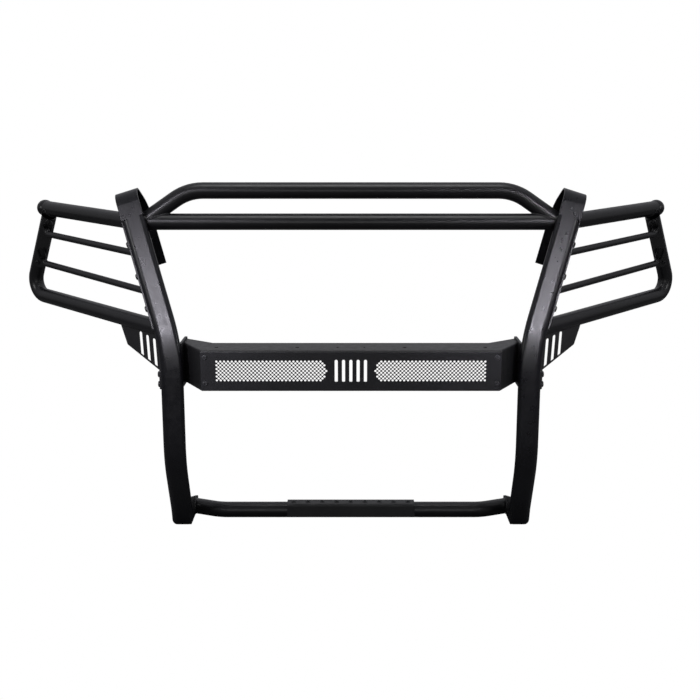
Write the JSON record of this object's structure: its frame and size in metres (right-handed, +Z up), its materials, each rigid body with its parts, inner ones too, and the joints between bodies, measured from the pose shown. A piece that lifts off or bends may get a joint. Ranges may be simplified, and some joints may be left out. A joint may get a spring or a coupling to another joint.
{
  "type": "front grille guard",
  "caption": "Front grille guard for a truck: bent uprights, top hoop, perforated crossbar, lower step and swept headlight guards with thin bars.",
  "frame": {"origin": "middle of the bounding box at floor level", "axes": "+Z up, -Y the front, +X towards the left-hand side of the truck it is fitted to"},
  "size_m": [2.0266, 0.6468, 0.9482],
  "materials": {
    "tube_coat": "satin black powder coat",
    "upright_coat": "satin black powder coat with a fine texture",
    "plate_coat": "satin black powder coat with a fine texture",
    "face_coat": "satin black powder coat",
    "pad_coat": "matt black powder coat",
    "black_fasteners": "black oxide steel",
    "face_screws": "dark zinc steel"
  },
  "bodies": {
    "root": {"cross_tube": "tube_coat", "crossbar_face_nuts": "black_fasteners", "crossbar_face_plate": "face_coat", "crossbar_face_screws": "face_screws", "crossbar_shell": "plate_coat", "hoop_tube": "tube_coat", "left_crossbar_bracket": "plate_coat", "left_crossbar_end_bolts": "black_fasteners", "left_crossbar_end_nuts": "black_fasteners", "left_crossbar_end_plate": "plate_coat", "left_foot_plate": "plate_coat", "left_upright": "upright_coat", "left_wing_gusset": "plate_coat", "left_wing_gusset_stay": "plate_coat", "left_wing_lower_bar": "tube_coat", "left_wing_lower_tube": "tube_coat", "left_wing_mount_bolts": "black_fasteners", "left_wing_mount_nuts": "black_fasteners", "left_wing_mount_plate": "plate_coat", "left_wing_strap": "plate_coat", "left_wing_strap_bolts": "black_fasteners", "left_wing_upper_bar": "tube_coat", "left_wing_upper_tube": "tube_coat", "right_crossbar_bracket": "plate_coat", "right_crossbar_end_bolts": "black_fasteners", "right_crossbar_end_nuts": "black_fasteners", "right_crossbar_end_plate": "plate_coat", "right_foot_plate": "plate_coat", "right_upright": "upright_coat", "right_wing_gusset": "plate_coat", "right_wing_gusset_stay": "plate_coat", "right_wing_lower_bar": "tube_coat", "right_wing_lower_tube": "tube_coat", "right_wing_mount_bolts": "black_fasteners", "right_wing_mount_nuts": "black_fasteners", "right_wing_mount_plate": "plate_coat", "right_wing_strap": "plate_coat", "right_wing_strap_bolts": "black_fasteners", "right_wing_upper_bar": "tube_coat", "right_wing_upper_tube": "tube_coat", "step_pad": "pad_coat", "step_tube": "tube_coat"}
  },
  "joints": []
}
